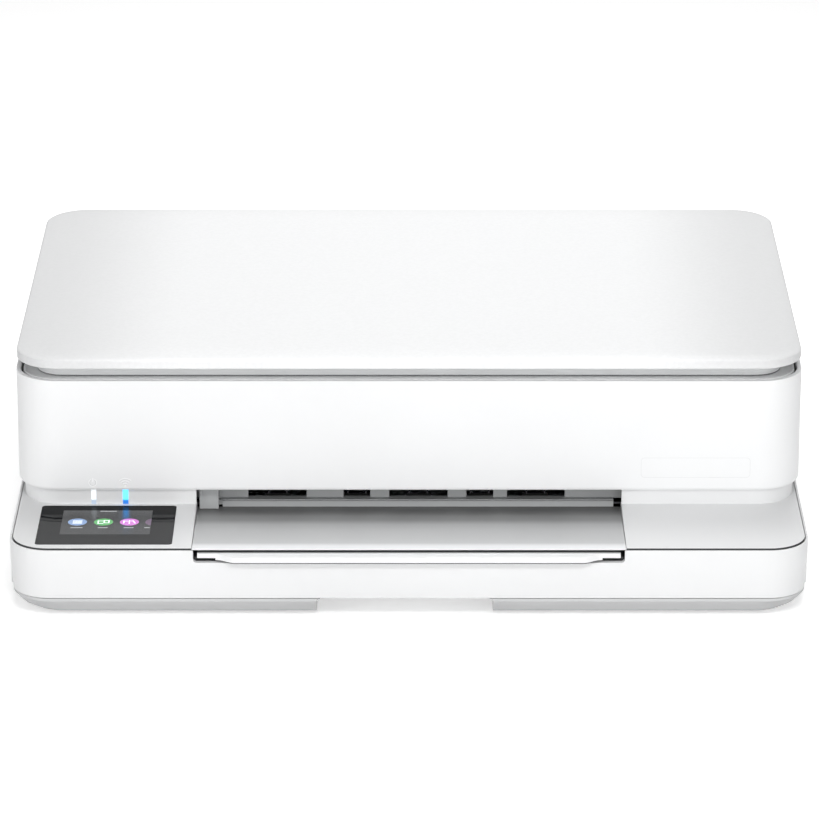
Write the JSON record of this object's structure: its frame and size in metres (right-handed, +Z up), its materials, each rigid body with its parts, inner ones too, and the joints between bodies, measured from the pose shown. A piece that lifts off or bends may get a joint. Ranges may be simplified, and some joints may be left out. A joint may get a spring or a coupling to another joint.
{
  "type": "inkjet_printer",
  "caption": "White all-in-one inkjet printer with a flat scanner lid, a lifting scanner housing, a front deck with a small display and a pull-out paper tray",
  "frame": {"origin": "middle of the footprint of the whole part, on the table", "axes": "+X to the right of a person facing the front, +Y to the rear, +Z up; the front with the display faces -Y"},
  "size_m": [0.432, 0.365, 0.127],
  "materials": {
    "white_plastic": "fine matte moulded white",
    "off_white_plastic": "plain moulded off-white",
    "grey_plastic": "plain moulded grey",
    "dark_plastic": "moulded dark grey",
    "black_plastic": "moulded black",
    "black_glass": "black glass over the display",
    "clear_glass": "clear flat glass",
    "clear_film": "clear film with fine marks",
    "light_guide": "clear light guides, one white and one blue",
    "steel": "plain sheet and ground steel",
    "brass": "turned brass",
    "rubber": "soft black rubber",
    "circuit_board": "green circuit board",
    "foam": "white foam"
  },
  "bodies": {
    "base": {"bottom_case": "grey_plastic", "rubber_feet": "rubber", "base_shell": "white_plastic", "deck_cover": "white_plastic", "display_glass": "black_glass", "display_module": "dark_plastic", "light_pipes": "light_guide", "output_ramp": "white_plastic", "exit_guide": "grey_plastic", "engine_frame": "dark_plastic", "platen": "dark_plastic", "pinch_holder": "dark_plastic", "chassis_rail": "steel", "guide_rod": "steel", "encoder_strip": "clear_film", "carriage_belt": "rubber", "drive_motors": "steel", "ribbon_cable": "off_white_plastic", "service_station": "dark_plastic", "feed_belt": "rubber", "pick_shaft": "steel", "main_board": "circuit_board", "power_supply": "dark_plastic", "hinge_brackets": "dark_plastic"},
    "paper_tray": {"tray_bin": "off_white_plastic", "tray_front": "white_plastic", "tray_cover": "off_white_plastic", "separation_pad": "rubber"},
    "extender": {"tray_extender": "white_plastic"},
    "left_guide": {"left_width_guide": "dark_plastic"},
    "right_guide": {"right_width_guide": "dark_plastic"},
    "guide_gear": {"guide_pinion": "off_white_plastic"},
    "rear_guide": {"length_guide": "dark_plastic"},
    "carriage": {"carriage": "dark_plastic"},
    "black_ink": {"black_cartridge": "black_plastic"},
    "colour_ink": {"colour_cartridge": "dark_plastic"},
    "belt_driver": {"motor_pulley": "steel"},
    "belt_idler": {"idler_pulley": "off_white_plastic"},
    "feed_shaft": {"feed_roller": "rubber"},
    "pinch_shaft": {"pinch_rollers": "off_white_plastic"},
    "exit_shaft": {"exit_roller": "rubber"},
    "star_shaft": {"star_wheels": "steel"},
    "idler": {"idler_gear": "off_white_plastic"},
    "pinion": {"motor_pinion": "brass"},
    "turn_shaft": {"turn_roller": "rubber"},
    "picker": {"pick_arm": "dark_plastic"},
    "pick_wheel": {"pick_roller": "rubber"},
    "power_key": {"power_button": "white_plastic"},
    "wireless_key": {"wireless_button": "white_plastic"},
    "access_door": {"rear_door": "white_plastic"},
    "scanner_housing": {"upper_shell": "white_plastic", "lift_pins": "steel", "scanner_pan": "dark_plastic", "scanner_deck": "grey_plastic", "scanner_glass": "clear_glass", "scan_rod": "steel"},
    "scan_head": {"scan_bar": "dark_plastic"},
    "lid": {"lid_cover": "white_plastic", "lid_liner": "off_white_plastic", "lid_pad": "foam"}
  },
  "joints": [
    {"name": "housing_lift", "type": "hinge", "parent": "base", "child": "scanner_housing", "pos_m": [0, 0.166, 0.056], "axis": [-1, 0, 0], "range_deg": [0, 30]},
    {"name": "lid_hinge", "type": "hinge", "parent": "scanner_housing", "child": "lid", "pos_m": [0, 0.164, 0.1165], "axis": [-1, 0, 0], "range_deg": [0, 85]},
    {"name": "scan_head_slide", "type": "slide", "parent": "scanner_housing", "child": "scan_head", "axis": [1, 0, 0], "range_m": [0, 0.302]},
    {"name": "tray_slide", "type": "slide", "parent": "base", "child": "paper_tray", "axis": [0, -1, 0], "range_m": [0, 0.2]},
    {"name": "extender_slide", "type": "slide", "parent": "paper_tray", "child": "extender", "axis": [0, -1, 0], "range_m": [0, 0.044]},
    {"name": "left_guide_slide", "type": "slide", "parent": "paper_tray", "child": "left_guide", "axis": [1, 0, 0], "range_m": [0, 0.045]},
    {"name": "right_guide_slide", "type": "slide", "parent": "paper_tray", "child": "right_guide", "axis": [-1, 0, 0], "range_m": [0, 0.045]},
    {"name": "guide_gear_turn", "type": "hinge", "parent": "paper_tray", "child": "guide_gear", "pos_m": [0.005, -0.057, 0.0143], "axis": [0, 0, 1], "range_deg": [0, 520]},
    {"name": "length_guide_slide", "type": "slide", "parent": "paper_tray", "child": "rear_guide", "axis": [0, 1, 0], "range_m": [0, 0.058]},
    {"name": "carriage_slide", "type": "slide", "parent": "base", "child": "carriage", "axis": [-1, 0, 0], "range_m": [0, 0.316]},
    {"name": "black_cartridge_lift", "type": "slide", "parent": "carriage", "child": "black_ink", "axis": [0, 0, 1], "range_m": [0, 0.009]},
    {"name": "colour_cartridge_lift", "type": "slide", "parent": "carriage", "child": "colour_ink", "axis": [0, 0, 1], "range_m": [0, 0.009]},
    {"name": "belt_driver_turn", "type": "hinge", "parent": "base", "child": "belt_driver", "pos_m": [-0.178, 0, 0.067], "axis": [0, 1, 0], "range_deg": [0, 4313]},
    {"name": "belt_idler_turn", "type": "hinge", "parent": "base", "child": "belt_idler", "pos_m": [0.192, 0, 0.067], "axis": [0, 1, 0], "range_deg": [0, 4313]},
    {"name": "feed_turn", "type": "hinge", "parent": "base", "child": "feed_shaft", "pos_m": [0.005, -0.022, 0.035], "axis": [1, 0, 0], "continuous": true},
    {"name": "pinch_turn", "type": "hinge", "parent": "base", "child": "pinch_shaft", "pos_m": [0.005, -0.022, 0.0436], "axis": [1, 0, 0], "continuous": true},
    {"name": "exit_turn", "type": "hinge", "parent": "base", "child": "exit_shaft", "pos_m": [0.005, -0.088, 0.0332], "axis": [1, 0, 0], "continuous": true},
    {"name": "star_wheel_turn", "type": "hinge", "parent": "base", "child": "star_shaft", "pos_m": [0.005, -0.088, 0.0438], "axis": [1, 0, 0], "continuous": true},
    {"name": "idler_turn", "type": "hinge", "parent": "base", "child": "idler", "pos_m": [-0.2, -0.055, 0.0341], "axis": [1, 0, 0], "continuous": true},
    {"name": "motor_pinion_turn", "type": "hinge", "parent": "base", "child": "pinion", "pos_m": [-0.2, -0.00381, 0.0245], "axis": [1, 0, 0], "continuous": true},
    {"name": "turn_roller_turn", "type": "hinge", "parent": "base", "child": "turn_shaft", "pos_m": [0.005, 0.1495, 0.028], "axis": [1, 0, 0], "continuous": true},
    {"name": "pick_arm_swing", "type": "hinge", "parent": "base", "child": "picker", "pos_m": [0.005, 0.1, 0.035], "axis": [1, 0, 0], "range_deg": [0, 22]},
    {"name": "pick_roller_turn", "type": "hinge", "parent": "picker", "child": "pick_wheel", "pos_m": [0.005, 0.066, 0.0375], "axis": [1, 0, 0], "continuous": true},
    {"name": "power_button_press", "type": "slide", "parent": "base", "child": "power_key", "axis": [0, -1, 0], "range_m": [0, 0.0012], "stiffness_N_per_m": 300},
    {"name": "wireless_button_press", "type": "slide", "parent": "base", "child": "wireless_key", "axis": [0, -1, 0], "range_m": [0, 0.0012], "stiffness_N_per_m": 300},
    {"name": "rear_door_hinge", "type": "hinge", "parent": "base", "child": "access_door", "pos_m": [0.005, 0.18125, 0.01555], "axis": [-1, 0, 0], "range_deg": [0, 60]}
  ],
  "couplings": [
    {"joint": "right_guide_slide", "follows": "left_guide_slide", "ratio": 1},
    {"joint": "guide_gear_turn", "follows": "left_guide_slide", "rad_per_m": 200},
    {"joint": "belt_driver_turn", "follows": "carriage_slide", "rad_per_m": 238.09},
    {"joint": "belt_idler_turn", "follows": "carriage_slide", "rad_per_m": 238.09},
    {"joint": "idler_turn", "follows": "feed_turn", "ratio": -0.78947},
    {"joint": "exit_turn", "follows": "feed_turn", "ratio": 1},
    {"joint": "turn_roller_turn", "follows": "feed_turn", "ratio": 1},
    {"joint": "motor_pinion_turn", "follows": "feed_turn", "ratio": -2.5},
    {"joint": "pinch_turn", "follows": "feed_turn", "ratio": -2.7273},
    {"joint": "star_wheel_turn", "follows": "feed_turn", "ratio": -1.2174}
  ]
}
